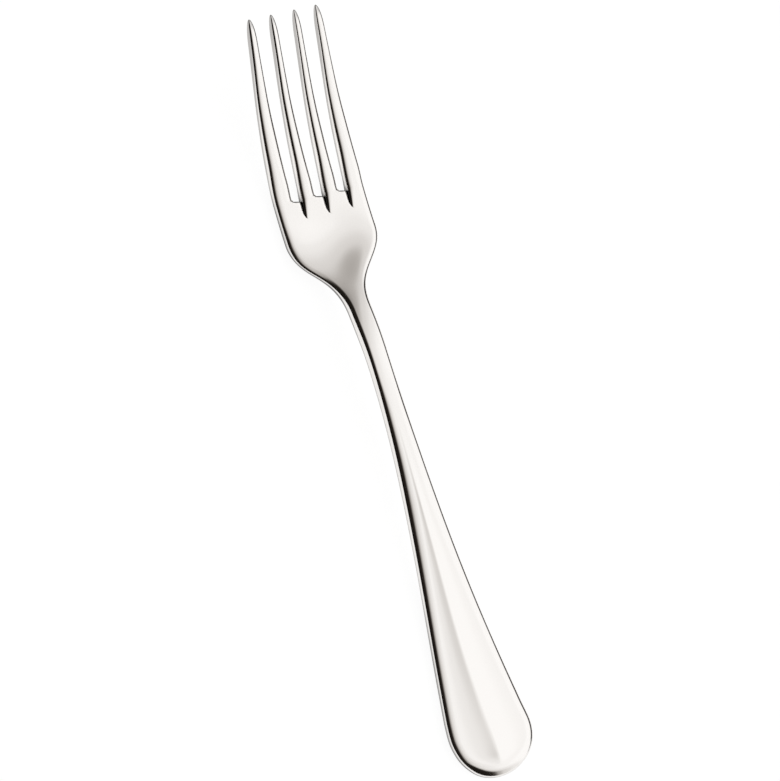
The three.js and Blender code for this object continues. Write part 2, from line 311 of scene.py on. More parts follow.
roll_depth = through(
    (0, END_ROLL_DEPTH),
    (END_ROLL_LENGTH, HANDLE_ROLL_DEPTH),
    (HANDLE_EVEN_LENGTH, HANDLE_ROLL_DEPTH),
    (FLANK_ROLL_AT, FLANK_ROLL_DEPTH),
    (neck_start, NECK_ROLL_DEPTH),
    (shoulder_start, NECK_ROLL_DEPTH),
    (shoulder_top, HEAD_ROLL_DEPTH),
)
ridge_base = RIDGE_POINT_AT - RIDGE_POINT_RUN
ridge_lift = through((0, 0), (ridge_base, 0), (RIDGE_POINT_AT, 1), (RIDGE_POINT_AT + RIDGE_FADE_LENGTH, 0))
ridge_side = through(*RIDGE_SIDE)
sway = through(*SWAY)
right_roll_share = through(*RIGHT_ROLL_SHARE)
back_radius = through(*BACK_RADIUS_BY_STATION)
edge_shade_line = through(*EDGE_SHADE_BY_STATION)
neck_middle = (neck_start + shoulder_start) / 2


def swell(station, middle, before, after):
    """One at the middle of a stretch, easing to nothing at its ends before and after."""
    share = np.clip(np.abs(station - middle) / np.where(station < middle, before, after), 0, 1)
    return (1 - share**2) ** 2


def rounded(share):
    """How far a rounded end has opened after going in by a share of its depth: a quarter of an ellipse."""
    return np.sqrt(1 - (1 - np.clip(share, 0, 1)) ** 2)


def mixed(start, end, share):
    """A value a share of the way from a start to an end."""
    return start + (end - start) * share


def quarter(count):
    """Angles through a quarter of a turn."""
    return np.linspace(0, math.pi / 2, count + 1)


def outline_lean(station):
    """How many times longer a cut across the fork is than one square to its outline."""
    slope = (half_width(station + SLOPE_REACH) - half_width(station - SLOPE_REACH)) / (2 * SLOPE_REACH)
    return math.sqrt(1 + slope**2)


end_stations = HANDLE_WIDEST_AT * END_OUTLINE_REACH * np.linspace(0, 1, CURVE_SAMPLES) ** 2
end_outline = np.stack([half_width(end_stations), end_stations], axis=1)


def from_end_outline(across, station):
    """Distances from points of a row to the outline round the end of the handle."""
    places = np.stack([np.abs(across), np.full_like(across, station)], axis=1)
    return np.min(np.linalg.norm(places[:, None] - end_outline[None], axis=2), axis=1)


class Row:
    """Skin points across the blank: place across, station, height, what the press does, the satin finish and
    the painted shade.
    """

    def __init__(self):
        self.points = []

    def add(self, across, station, height, face_end=None, satin=0.0, painted_shade=0.0):
        """Adds points. Those given the face's end lie on the front, and take the ridge and the hollow."""
        across = np.atleast_1d(np.asarray(across, dtype=float))
        station = np.broadcast_to(station, across.shape)
        height = np.broadcast_to(height, across.shape)
        ridge = hollow = np.zeros_like(across)
        bulge = np.clip(1 - (across / np.maximum(half_width(station), SEAM_WIDTH)) ** 2, 0, 1)
        raised = np.clip(height / thickness(station), 0, 1)
        crown = swell(station, neck_middle, CROWN_REACH, CROWN_REACH) * bulge * raised
        if face_end is not None:
            from_ridge = across - ridge_side(station)
            reach = np.maximum(face_end - ridge_side(station) * np.sign(from_ridge), SEAM_WIDTH)
            soft = RIDGE_SOFTNESS / np.maximum(reach, RIDGE_SOFTNESS)
            fall = np.sqrt((from_ridge / reach) ** 2 + soft**2) - soft
            facet = np.clip(1 - fall / (np.sqrt(1 + soft**2) - soft), 0, 1) ** FACET_HOLLOWNESS
            ridge = ridge_lift(station) * facet
            rim = 1 - np.clip(np.abs(across - PALM_HOLLOW_SIDE) / max(face_end, SEAM_WIDTH), 0, 1) ** 2
            hollow_middle = slot_root - PALM_HOLLOW_BEFORE_SLOTS
            sunk = swell(station, hollow_middle, PALM_HOLLOW_REACH, PALM_HOLLOW_BEFORE_SLOTS)
            hollow = sunk * rim**PALM_HOLLOW_RIM
        parts = (across, station, height, ridge, hollow, crown, satin, painted_shade)
        self.points.append(np.stack([np.broadcast_to(part, across.shape) for part in parts], axis=1))

    def loop(self):
        return np.concatenate(self.points)


def edge_profile(full, corner, roll, split=EVEN_SPLIT, lean=0.0, bevel=1.0):
    """Insets and heights up an edge: from the back round the corner, up the wall and over the roll to the face.

    The third result is one on the corner and the wall and falls to nothing over the roll. A bevel above one
    flattens the middle of the roll.
    """
    low, high = quarter(COLUMNS["corner"]), quarter(COLUMNS["roll"])
    wall_low, wall_high = corner[1], full - roll[1]
    middle = mixed(wall_low, wall_high, split)
    wall = np.concatenate([
        np.linspace(wall_low, middle, COLUMNS["lower_wall"] + 1)[1:],
        np.linspace(middle, wall_high, COLUMNS["upper_wall"] + 1)[1:-1],
    ])
    over, up = roll[0] * (1 - np.cos(high).clip(0) ** bevel), wall_high + roll[1] * np.sin(high) ** bevel
    inset = np.concatenate([corner[0] * (1 - np.sin(low)), np.zeros(len(wall)), over])
    height = np.concatenate([corner[1] * (1 - np.cos(low)), wall, up])
    inset += lean * np.minimum(height, wall_high)
    hold = np.concatenate([np.ones(len(low) + len(wall)), np.cos(high)])
    return inset, height, hold


def painted_edge_shade(height, station):
    """How much of the painted shade line along the back shows at heights up an edge."""
    top = EDGE_SHADE_HEIGHT + back_radius(station) - BACK_RADIUS
    return EDGE_SHADE_SHARE * edge_shade_line(station) * np.clip((top - height) / EDGE_SHADE_FADE, 0, 1)


def drop(from_edge, width, depth):
    """How far a rounded edge has dropped, by the distance from the outline."""
    return depth * (1 - rounded(from_edge / width))


def bar_roll(station):
    """Width and depth of the rolled edge of the bar."""
    width = float(roll_width(station))
    if station > HANDLE_WIDEST_AT:
        width = min(width, float(half_width(station)) * ROLL_LIMIT)
    return width, float(roll_depth(station))


def face_end_at(station):
    """Where the flat face of the bar ends, across."""
    half = float(half_width(station))
    lean = outline_lean(station) if station > 0 else 1
    return half - min(bar_roll(station)[0] * lean, half * ROLL_LIMIT)


def back_end_at(station):
    """Where the flat back of the bar ends, across."""
    half = float(half_width(station))
    lean = outline_lean(station) if station > 0 else 1
    return half - min(float(back_radius(station)) * lean, half * (1 - ROLL_LIMIT))


def bar_edge(station, depth_share=1.0):
    """The rolled edge of the bar, from the back up to the face: places across and heights."""
    half, full = float(half_width(station)), float(thickness(station))
    width, depth = bar_roll(station)
    roll = width, depth * depth_share
    corner_width, roll_across = half - back_end_at(station), half - face_end_at(station)
    inset, height, _ = edge_profile(full, (corner_width, float(back_radius(station))), (roll_across, roll[1]))
    across = half - inset
    if station < HANDLE_WIDEST_AT:
        away = from_end_outline(across, station)
        corners, rolls = COLUMNS["corner"], COLUMNS["roll"]
        height[:corners] = drop(away[:corners], BACK_RADIUS, BACK_RADIUS)
        height[-rolls:] = full - drop(away[-rolls:], *roll)
    return across, height


def face_height(across, station):
    """Height of the flat face of the bar before pressing, lower where it runs into the rolled end."""
    full = float(thickness(station))
    if station >= HANDLE_WIDEST_AT:
        return np.full_like(across, full)
    return full - drop(from_end_outline(across, station), *bar_roll(station))


def back_height(across, station):
    """Height of the back of the bar before pressing, raised where it runs into the round end."""
    if station >= HANDLE_WIDEST_AT:
        return np.zeros_like(across)
    return drop(from_end_outline(across, station), BACK_RADIUS, BACK_RADIUS)


wall_slide = {side: shift + SLOT_CORNER_RADIUS for side, shift in SLOT_END_SHIFT.items()}

# Roots of the tines from left to right: edges, and which edges face a slot
root_edges = slot_half - ROOT_FULLNESS, inner_edge + ROOT_FULLNESS, outer_edge - ROOT_FULLNESS
ROOTS = (
    (-head_half, -root_edges[2], False, True),
    (-root_edges[1], -root_edges[0], True, True),
    (root_edges[0], root_edges[1], True, True),
    (root_edges[2], head_half, True, False),
)
LAST_ROOT = len(ROOTS) - 1


def corner_slide(across, index):
    """How far the bottom of a slot runs on towards the points at a place across it, to round its corners."""
    left, right = ROOTS[index][1], ROOTS[index + 1][0]
    from_wall = np.minimum(across - left, right - across)
    share = np.clip((across - left) / (right - left), 0, 1)
    skew = mixed(SLOT_END_SHIFT["left"], SLOT_END_SHIFT["right"], share)
    return skew + drop(from_wall, SLOT_CORNER_RADIUS, SLOT_CORNER_RADIUS)


def root_span(index, outer_end, inset=0.0):
    """Left and right end of a root, the outer roots ending at the bar's own edge line."""
    left, right, slot_left, slot_right = ROOTS[index]
    return left + inset if slot_left else -outer_end, right - inset if slot_right else outer_end


def slot_columns(index, inset, shares):
    """Places across the slot to the right of a root, at shares of its width."""
    return mixed(ROOTS[index][1] - inset, ROOTS[index + 1][0] + inset, shares)


def root_columns(outer_end, inset, root_count, slot_shares):
    """Places across the bar from left to right, where each root and each slot has columns of its own."""
    columns = []
    for index in range(len(ROOTS)):
        columns.append(np.linspace(*root_span(index, outer_end, inset), root_count + 1))
        if index < LAST_ROOT:
            columns.append(slot_columns(index, inset, slot_shares)[1:-1])
    return np.concatenate(columns)


groove_tip_inset = SLOT_ROLL * GROOVE_TIP_ROLL - GROOVE_NARROWING
face_slot_shares = 1 - np.linspace(1, 0, COLUMNS["slot"] + 1) ** SLOT_COLUMN_CROWDING
back_slot_shares = np.linspace(0, 1, COLUMNS["slot"] + 2 * COLUMNS["fillet"] + 1)
root_face_end, root_back_end = face_end_at(slot_root), back_end_at(slot_root)
face_shares = root_columns(root_face_end, groove_tip_inset, COLUMNS["face"], face_slot_shares) / root_face_end
back_shares = root_columns(root_back_end, 0, COLUMNS["back"], back_slot_shares) / root_back_end


def bar_row(station):
    """The skin across the handle, the neck or the palm."""
    face_end = face_end_at(station)
    row = Row()
    back = back_shares * back_end_at(station)
    row.add(back, station, back_height(back, station))
    across, height = bar_edge(station, float(right_roll_share(station)))
    row.add(across[1:-1], station, height[1:-1], painted_shade=painted_edge_shade(height[1:-1], station))
    face = face_shares[::-1] * face_end
    row.add(face, station, face_height(face, station), face_end)
    across, height = bar_edge(station)
    row.add(-across[-2:0:-1], station, height[-2:0:-1], painted_shade=painted_edge_shade(height[-2:0:-1], station))
    return row.loop()


def groove_depth(station, side):
    """Depth below the face of one side of a slot's run-out, rounding over its lip at the root of the slot."""
    length, lip_start = GROOVE_LENGTH[side], slot_root - GROOVE_LIP
    reached = np.clip((station - slot_root + length) / (length - GROOVE_LIP), 0, 1)
    over_lip = np.clip((station - lip_start) / GROOVE_LIP, 0, 1)
    floor = (GROOVE_DEPTH[side] - GROOVE_LIP) * reached ** GROOVE_STEEPENING[side]
    return float(floor + GROOVE_LIP * (1 - np.sqrt(1 - over_lip**2)))


def groove_side(station, side):
    """Insets and depths down one side of a slot's run-out: over the roll, down the wall, round to the floor."""
    depth = groove_depth(station, side)
    reached = float(np.clip(1 - (slot_root - station) / GROOVE_LENGTH[side], 0, 1))
    width = SLOT_ROLL * mixed(GROOVE_TIP_ROLL, 1, reached)
    fillet = min(GROOVE_FILLET * reached**GROOVE_CLOSING, depth * GROOVE_FILLET_SHARE)
    wall_end = depth - fillet
    roll_end = min(wall_end, HEAD_ROLL_DEPTH)
    last = math.asin(1 - roll_end / HEAD_ROLL_DEPTH)
    over = np.linspace(math.pi / 2, last, COLUMNS["roll"] + 1)
    wall = np.linspace(roll_end, wall_end, COLUMNS["upper_wall"] + 1)[1:]
    inset = width * (1 - math.cos(last))
    bend = inset - min(width / HEAD_ROLL_DEPTH * math.tan(last) * fillet, fillet)
    under = np.linspace(0, 1, COLUMNS["fillet"] + 1)[1:]
    curve = inset * (1 - under) ** 2 + bend * 2 * under * (1 - under) + (bend - fillet) * under**2
    insets = np.concatenate([width * (1 - np.cos(over)), np.full(len(wall), inset), curve])
    bottom = wall_end + fillet * (2 * under - under**2)
    depths = np.concatenate([HEAD_ROLL_DEPTH * (1 - np.sin(over)), wall, bottom])
    hold = np.concatenate([np.cos(over), np.ones(len(wall) + len(under))])
    return insets - GROOVE_NARROWING * (1 - reached), depths, hold


def root_pull(index, count):
    """How strongly the back of a root follows the rounded corners of the slots beside it."""
    share = np.linspace(-1, 1, count)
    _, _, slot_left, slot_right = ROOTS[index]
    pull = np.where(share > 0, slot_right * wall_slide["left"], slot_left * wall_slide["right"])
    return pull * share**ROOT_CORNER_SHARPNESS


def groove_floor(index, station):
    """The floor of the run-out of a slot from fillet to fillet: places across, stations and depths."""
    count = COLUMNS["fillet"] + 1
    left_inset, left_depth, _ = (part[-count:] for part in groove_side(station, "left"))
    right_inset, right_depth, _ = (part[-count:] for part in groove_side(station, "right"))
    left, right = ROOTS[index][1] - left_inset, ROOTS[index + 1][0] + right_inset
    share = face_slot_shares[1:-1]
    reached = (station - groove_start) / (slot_root - groove_start)
    steepness = GROOVE_BANK / max(reached, GROOVE_BANK_LEAST) ** GROOVE_CLOSING
    bank = mixed(left_depth[-1], right_depth[-1], share**steepness)
    across = np.concatenate([left, mixed(left[-1], right[-1], share), right[::-1]])
    depth = np.concatenate([left_depth, bank, right_depth[::-1]])
    return across, station + reached**2 * corner_slide(across, index), depth


def groove_row(station):
    """The skin across the palm where the slots run out into it as grooves."""
    reached = (station - groove_start) / (slot_root - groove_start)
    slide = reached**2
    full = float(thickness(station))
    face_end = face_end_at(station)
    edges = {
        side: [part[:-COLUMNS["fillet"]] for part in groove_side(station, side)] for side in GROOVE_LENGTH
    }
    row = Row()
    for index in range(len(ROOTS)):
        back = np.linspace(*root_span(index, root_back_end), COLUMNS["back"] + 1)
        row.add(back, station + slide * root_pull(index, len(back)), 0)
        if index < LAST_ROOT:
            back = slot_columns(index, 0, back_slot_shares)[1:-1]
            row.add(back, station + slide * corner_slide(back, index), 0)
    across, height = bar_edge(station)
    row.add(across[1:-1], station, height[1:-1], painted_shade=painted_edge_shade(height[1:-1], station))
    for index in reversed(range(len(ROOTS))):
        left, right, slot_left, slot_right = ROOTS[index]
        face_left, face_right = -face_end, face_end
        if slot_right:
            inset, depth, hold = (part[::-1] for part in edges["left"])
            face_right = right - inset[-1]
            run = station + slide * wall_slide["left"] * hold
            row.add(right - inset[:-1], run[:-1], full - depth[:-1], face_end)
        if slot_left:
            inset, depth, hold = edges["right"]
            face_left = left + inset[0]
        row.add(np.linspace(face_right, face_left, COLUMNS["face"] + 1), station, full, face_end)
        if slot_left:
            run = station + slide * wall_slide["right"] * hold
            # Painted shade: the notch's wall and floor are painted darker the deeper they go
            notch_shade = np.interp(depth[1:], NOTCH_SHADE_DEPTHS, (0, 1)) * (1 - slide)
            row.add(left + inset[1:], run[1:], full - depth[1:], face_end, painted_shade=notch_shade)
            floor, run, depth = (part[-2:0:-1] for part in groove_floor(index - 1, station))
            row.add(floor, run, full - depth, face_end, painted_shade=np.interp(depth, NOTCH_SHADE_DEPTHS, (0, 1)))
    row.add(-across[-2:0:-1], station, height[-2:0:-1], painted_shade=painted_edge_shade(height[-2:0:-1], station))
    return row.loop()


def slot_end_rows(index):
    """The wall at the end of a slot, from the lip of its run-out down to the back."""
    full = float(thickness(slot_root))
    lip, lip_run, lip_depth = groove_floor(index, slot_root)
    back = slot_columns(index, 0, back_slot_shares)
    back_run = slot_root + corner_slide(back, index)
    rows = []
    for share in np.linspace(0, 1, COLUMNS["lower_wall"] + 1):
        row = Row()
        height = (full - lip_depth) * (1 - share)
        row.add(mixed(lip, back, share), mixed(lip_run, back_run, share), height, root_face_end, satin=1.0)
        rows.append(row.loop())
    return rows


def tine_taper(at_root, at_point, pulls):
    """Width of a tine from its root to its point, by how much of the taper is done at each pull."""
    reach = tine_length / 3
    return along_fork([
        (slot_root, at_root),
        (slot_root + reach, mixed(at_root, at_point, pulls[0])),
        (point - reach, mixed(at_root, at_point, pulls[1])),
        (point, at_point),
    ])


inner_width = tine_taper(root_edges[1] - root_edges[0], INNER_TINE_WIDTH_AT_POINT, INNER_TINE_TAPER)
outer_width = tine_taper(head_half - root_edges[2], OUTER_TINE_WIDTH_AT_POINT, OUTER_TINE_TAPER)
wall_split = {
    side: (HEAD_THICKNESS - depth + GROOVE_FILLET) / (HEAD_THICKNESS - HEAD_ROLL_DEPTH)
    for side, depth in GROOVE_DEPTH.items()
}


def tine_middle(index, station):
    """Width of a tine, and the place of its middle across the fork."""
    if index in (0, LAST_ROOT):
        width = float(outer_width(station))
        middle = float(half_width(station)) - width / 2
    else:
        width = float(inner_width(station))
        middle = (slot_half + inner_edge) / 2
    return width, middle * (-1 if index < len(ROOTS) / 2 else 1)


left_lean, right_lean = through(*LEFT_LEAN), through(*RIGHT_LEAN)
tine_bevels = [through(*places) for places in TINE_BEVELS]


def tine_side(station, half, full, slot_side, lean, bevel):
    """The profile of one side of a tine, rounder nearer its point, by the side of the slot that it faces."""
    away = station - slot_root
    share = np.clip(away / ROUNDING_LENGTH, 0, 1)
    share = float(share**2 * (3 - 2 * share))
    root_radius = BACK_RADIUS * min(1.0, away / ROOT_EASING_LENGTH) if slot_side else BACK_RADIUS
    corner = mixed(root_radius, ROUND_BACK * half, share), mixed(root_radius, ROUND_BACK_DEPTH * full, share)
    depth = mixed(HEAD_ROLL_DEPTH, ROUND_ROLL_DEPTH * full, share)
    widest = ROUND_ROLL * (half - lean * (full - depth))
    width = min(mixed(SLOT_ROLL if slot_side else HEAD_ROLL, widest, share), widest)
    return edge_profile(full, corner, (width, depth), wall_split.get(slot_side, EVEN_SPLIT), lean, bevel)


def tine_row(index, station):
    """The skin across a tine, rounding off towards its point."""
    _, _, slot_left, slot_right = ROOTS[index]
    width, middle = tine_middle(index, station)
    closing = float(rounded((point - station) / POINT_LENGTH))
    half, full = width / 2 * closing, float(thickness(station)) * closing
    rise = float(thickness(station)) * (1 - closing) * POINT_CENTRE
    slide = max(0.0, 1 - (station - slot_root) / ROOT_EASING_LENGTH) ** 2
    leans = float(left_lean(station - slot_root)), float(right_lean(station - slot_root))
    bevel = float(tine_bevels[index](station - slot_root))
    left_inset, left_height, left_hold = tine_side(
        station, half, full, "right" if slot_left else None, leans[0], bevel
    )
    right_inset, right_height, right_hold = tine_side(
        station, half, full, "left" if slot_right else None, leans[1], 1.0
    )
    right_side, left_side = middle + half - right_inset, middle - half + left_inset
    row = Row()
    back = np.linspace(left_side[0], right_side[0], COLUMNS["back"] + 1)
    row.add(back, station + slide * root_pull(index, len(back)), rise)
    run = station + slide * wall_slide["left"] * right_hold * slot_right
    height = right_height[1:-1]
    row.add(right_side[1:-1], run[1:-1], height + rise, painted_shade=painted_edge_shade(height, station))
    row.add(np.linspace(right_side[-1], left_side[-1], COLUMNS["face"] + 1), station, full + rise)
    run = station + slide * wall_slide["right"] * left_hold * slot_left
    height = left_height[-2:0:-1]
    row.add(left_side[-2:0:-1], run[-2:0:-1], height + rise, painted_shade=painted_edge_shade(height, station))
    return row.loop()


def steps(start, end, step):
    """Stations from one place to another in about equal steps, both ends included."""
    return np.linspace(start, end, max(2, round((end - start) / step) + 1))


def bar_stations():
    """Stations of the rows from the round end to the first groove, crowded at the end."""
    return np.concatenate([
        HANDLE_WIDEST_AT * (1 - np.cos(quarter(END_ROWS))),
        steps(HANDLE_WIDEST_AT, neck_start, ROW_STEP["handle"])[1:],
        steps(neck_start, shoulder_start, ROW_STEP["neck"])[1:],
        steps(shoulder_start, groove_start, ROW_STEP["palm"])[1:],
    ])


def groove_stations():
    """Stations of the rows beside the grooves, crowded at their lips."""
    lip_start = slot_root - GROOVE_LIP
    return np.concatenate([
        steps(groove_start, lip_start, ROW_STEP["groove"]),
        lip_start + GROOVE_LIP * np.sin(quarter(LIP_ROWS))[1:],
    ])


def tine_stations():
    """Stations of the rows along a tine, crowded at its point."""
    return np.concatenate([
        steps(slot_root, point - POINT_LENGTH, ROW_STEP["tine"]),
        point - POINT_LENGTH * (1 - np.sin(quarter(POINT_ROWS))[1:]),
    ])


def skin(rows, first, closed=True):
    """Faces over rows of equally many points, counted on from a first point."""
    count = len(rows[0])
    faces = []
    for low in range(len(rows) - 1):
        start = first + low * count
        for place in range(count if closed else count - 1):
            beside = (place + 1) % count
            faces.append((start + place, start + beside, start + count + beside, start + count + place))
    return faces


PRESSED = ("arch", "tine_rise", "ridge", "hollow", "crown")


def forge_blank():
    """The flat blank as one closed skin, with what the press does at each point as attributes."""
    lofts = [
        ([bar_row(station) for station in bar_stations()], True),
        ([groove_row(station) for station in groove_stations()], True),
    ]
    for index in range(len(ROOTS)):
        lofts.append(([tine_row(index, station) for station in tine_stations()], True))
    lofts += [(slot_end_rows(index), False) for index in range(LAST_ROOT)]
    faces = []
    points = []
    for rows, closed in lofts:
        faces += skin(rows, sum(len(loop) for loop in points), closed)
        points += rows
    points = np.concatenate(points)
    across, station, height, ridge, hollow, crown, satin, painted_shade = points.T
    places = np.stack([across + sway(station), station + handle_end, height], axis=1) * MM
    mesh = bpy.data.meshes.new(FORK)
    mesh.from_pydata(places.tolist(), [], faces)
    shares = dict(zip(PRESSED, (arch_lift(station), tine_lift(station), ridge, hollow, crown)))
    for name, values in {**shares, "satin": satin, "painted_shade": painted_shade}.items():
        attribute = mesh.attributes.new(name, "FLOAT", "POINT")
        attribute.data.foreach_set("value", values.astype(np.float32))
    close_skin(mesh)
    blank = bpy.data.objects.new(FORK, mesh)
    bpy.context.scene.collection.objects.link(blank)
    return blank


def close_skin(mesh):
    """Merges the seams between the parts of the skin, and turns its faces outwards."""
    work = bmesh.new()
    work.from_mesh(mesh)
    bmesh.ops.remove_doubles(work, verts=work.verts, dist=SEAM_WIDTH * MM)
    bmesh.ops.dissolve_degenerate(work, edges=work.edges, dist=SLIVER_WIDTH * MM)
    bmesh.ops.recalc_face_normals(work, faces=work.faces)
    work.to_mesh(mesh)
    work.free()


PRESS_SIZES = {
    "Arch Height": ("arch", ARCH_HEIGHT),
    "Tine Rise": ("tine_rise", TINE_RISE),
    "Ridge Height": ("ridge", RIDGE_HEIGHT),
    "Palm Hollow": ("hollow", -PALM_HOLLOW),
    "Neck Crown": ("crown", CROWN_HEIGHT),
}


def press_tree(steel):
    """A tree that moves each point of the blank up or down by what the press does there."""
    tree = bpy.data.node_groups.new("press_blank", "GeometryNodeTree")
    tree.interface.new_socket("Blank", in_out="INPUT", socket_type="NodeSocketGeometry")
    for name in PRESS_SIZES:
        tree.interface.new_socket(name, in_out="INPUT", socket_type="NodeSocketFloat")
    tree.interface.new_socket("Fork", in_out="OUTPUT", socket_type="NodeSocketGeometry")
    add, link = tree.nodes.new, tree.links.new
    given = add("NodeGroupInput")
    lift = None
    for name, (attribute, _) in PRESS_SIZES.items():
        share = add("GeometryNodeInputNamedAttribute")
        share.data_type = "FLOAT"
        share.inputs["Name"].default_value = attribute
        part = add("ShaderNodeMath")
        part.operation = "MULTIPLY_ADD"
        link(share.outputs["Attribute"], part.inputs[0])
        link(given.outputs[name], part.inputs[1])
        part.inputs[2].default_value = 0
        if lift is not None:
            link(lift, part.inputs[2])
        lift = part.outputs[0]
    offset = add("ShaderNodeCombineXYZ")
    link(lift, offset.inputs["Z"])
    press = add("GeometryNodeSetPosition")
    link(given.outputs["Blank"], press.inputs["Geometry"])
    link(offset.outputs["Vector"], press.inputs["Offset"])
    realize = add("GeometryNodeRealizeInstances")
    link(press.outputs["Geometry"], realize.inputs["Geometry"])
    finish = add("GeometryNodeSetMaterial")
    finish.inputs["Material"].default_value = steel
    link(realize.outputs["Geometry"], finish.inputs["Geometry"])
    result = add("NodeGroupOutput")
    link(finish.outputs["Geometry"], result.inputs["Fork"])
    return tree


SHARP_EDGE = math.radians(38)


def press(blank, steel):
    """Presses the blank and keeps the result as a plain mesh with smooth shading and crisp slot edges."""
    tree = press_tree(steel)
    modifier = blank.modifiers.new("press", "NODES")
    modifier.node_group = tree
    for socket in tree.interface.items_tree:
        if socket.name in PRESS_SIZES:
            modifier[socket.identifier] = PRESS_SIZES[socket.name][1] * MM
    graph = bpy.context.evaluated_depsgraph_get()
    evaluated = blank.evaluated_get(graph)
    pressed = bpy.data.meshes.new_from_object(evaluated, preserve_all_data_layers=True, depsgraph=graph)
    blank.modifiers.remove(modifier)
    blank.data = pressed
    pressed.name = FORK
    pressed.shade_smooth()
    pressed.set_sharp_from_angle(angle=SHARP_EDGE)
    for name in PRESSED:
        pressed.attributes.remove(pressed.attributes[name])
    return blank


# Polished steel, the painted shade of the line along the back edge, and the painted shade of the dark notch
# bottoms
STEEL_COLOUR = (0.975, 0.95, 0.925, 1)
EDGE_SHADE_COLOUR = (0.16, 0.155, 0.15, 1)
NOTCH_SHADE_COLOUR = (0.045, 0.043, 0.04, 1)
POLISH_ROUGHNESS = (0.07, 0.13)
SATIN_ROUGHNESS = 0.28
LINES_ACROSS = 9000
LINES_ALONG = 60
LINE_DETAIL = 3
CLOUD_SCALE = 90
CLOUD_DETAIL = 4
CLOUD_SHARE = 0.5
POLISH_SPREAD = (0.3, 0.7)
LINE_DEPTH = 0.000004
LINE_STRENGTH = 0.06


def polished_steel():
    """Mirror-polished steel with fine polishing lines along the fork, satin walls at the slots' ends, and
    painted shade along the back edge and in the notch bottoms.
    """
    steel = bpy.data.materials.new("polished_steel")
    steel.use_nodes = True
    nodes, link = steel.node_tree.nodes, steel.node_tree.links.new
    surface = nodes["Principled BSDF"]
    surface.inputs["Metallic"].default_value = 1
    # Painted shade: an attribute darkens the colour, half way to a dark line along the back edge and fully to
    # near black in the notch bottoms
    painted_shade = nodes.new("ShaderNodeAttribute")
    painted_shade.attribute_name = "painted_shade"
    colour = nodes.new("ShaderNodeValToRGB")
    colour.color_ramp.elements[0].color = STEEL_COLOUR
    colour.color_ramp.elements[1].color = NOTCH_SHADE_COLOUR
    colour.color_ramp.elements.new(EDGE_SHADE_SHARE).color = EDGE_SHADE_COLOUR
    link(painted_shade.outputs["Fac"], colour.inputs["Fac"])
    link(colour.outputs["Color"], surface.inputs["Base Color"])
    place = nodes.new("ShaderNodeTexCoord")
    along = nodes.new("ShaderNodeMapping")
    along.inputs["Scale"].default_value = (LINES_ACROSS, LINES_ALONG, LINES_ACROSS)
    link(place.outputs["Object"], along.inputs["Vector"])
    lines = nodes.new("ShaderNodeTexNoise")
    lines.inputs["Scale"].default_value = 1
    lines.inputs["Detail"].default_value = LINE_DETAIL
    link(along.outputs["Vector"], lines.inputs["Vector"])
    clouds = nodes.new("ShaderNodeTexNoise")
    clouds.inputs["Scale"].default_value = CLOUD_SCALE
    clouds.inputs["Detail"].default_value = CLOUD_DETAIL
    link(place.outputs["Object"], clouds.inputs["Vector"])
    both = nodes.new("ShaderNodeMix")
    both.inputs["Factor"].default_value = CLOUD_SHARE
    link(lines.outputs["Fac"], both.inputs["A"])
    link(clouds.outputs["Fac"], both.inputs["B"])
    polish = nodes.new("ShaderNodeMapRange")
    polish.inputs["From Min"].default_value = POLISH_SPREAD[0]
    polish.inputs["From Max"].default_value = POLISH_SPREAD[1]
    polish.inputs["To Min"].default_value = POLISH_ROUGHNESS[0]
    polish.inputs["To Max"].default_value = POLISH_ROUGHNESS[1]
    link(both.outputs["Result"], polish.inputs["Value"])
    satin = nodes.new("ShaderNodeAttribute")
    satin.attribute_name = "satin"
    rough = nodes.new("ShaderNodeMix")
    rough.inputs["B"].default_value = SATIN_ROUGHNESS
    link(satin.outputs["Fac"], rough.inputs["Factor"])
    link(polish.outputs["Result"], rough.inputs["A"])
    link(rough.outputs["Result"], surface.inputs["Roughness"])
    bump = nodes.new("ShaderNodeBump")
    bump.inputs["Strength"].default_value = LINE_STRENGTH
    bump.inputs["Distance"].default_value = LINE_DEPTH
    link(lines.outputs["Fac"], bump.inputs["Height"])
    link(bump.outputs["Normal"], surface.inputs["Normal"])
    return steel


# Studio: a broad soft light over the right, and a dark room to the left that reaches round at both ends
LIGHT_BY_SIDE = (
    (-0.48, 0.012), (-0.36, 0.06), (-0.19, 0.44), (-0.04, 0.7), (0.22, 0.86), (0.36, 0.95), (0.5, 1.0),
)
DIM_TINT = (1.0, 1.05, 1.1)
LIGHT_BY_ELEVATION = ((0.0, 0.015), (0.38, 0.03), (0.53, 1.0))
FAR_TURN = 1.06
FAR_TURN_FROM = 0.14
FAR_SINK = 0.1
NEAR_TURN = 1.6
NEAR_CONTRAST = 2.4
NEAR_TURN_FROM = 0.5
NEAR_TURN_REACH = 0.25
NEAR_LIFT = 1.3
NEAR_LIFT_FROM = 0.25


def light_ramp(nodes, link, value, stops):
    """A brightness that follows one part of the direction, from the left or low end of its range."""
    spread = nodes.new("ShaderNodeMapRange")
    spread.inputs["From Min"].default_value = -1
    link(value, spread.inputs["Value"])
    ramp = nodes.new("ShaderNodeValToRGB")
    ramp.color_ramp.interpolation = "EASE"
    elements = ramp.color_ramp.elements
    while len(elements) < len(stops):
        elements.new(0.5)
    for element, (direction, brightness) in zip(elements, stops):
        element.position = (direction + 1) / 2
        element.color = (*(brightness**tint for tint in DIM_TINT), 1)
    link(spread.outputs["Result"], ramp.inputs["Fac"])
    return ramp.outputs["Color"]


def calculate(nodes, link, operation, *inputs):
    """A math node whose inputs are numbers or outputs of other nodes."""
    node = nodes.new("ShaderNodeMath")
    node.operation = operation
    for socket, value in zip(node.inputs, inputs):
        if isinstance(value, (int, float)):
            socket.default_value = value
        else:
            link(value, socket)
    return node.outputs[0]


def past(nodes, link, value, sign, start):
    """How far a part of the direction goes past a start, on one side of the middle."""
    return calculate(nodes, link, "MAXIMUM", calculate(nodes, link, "MULTIPLY_ADD", value, sign, -start), 0)


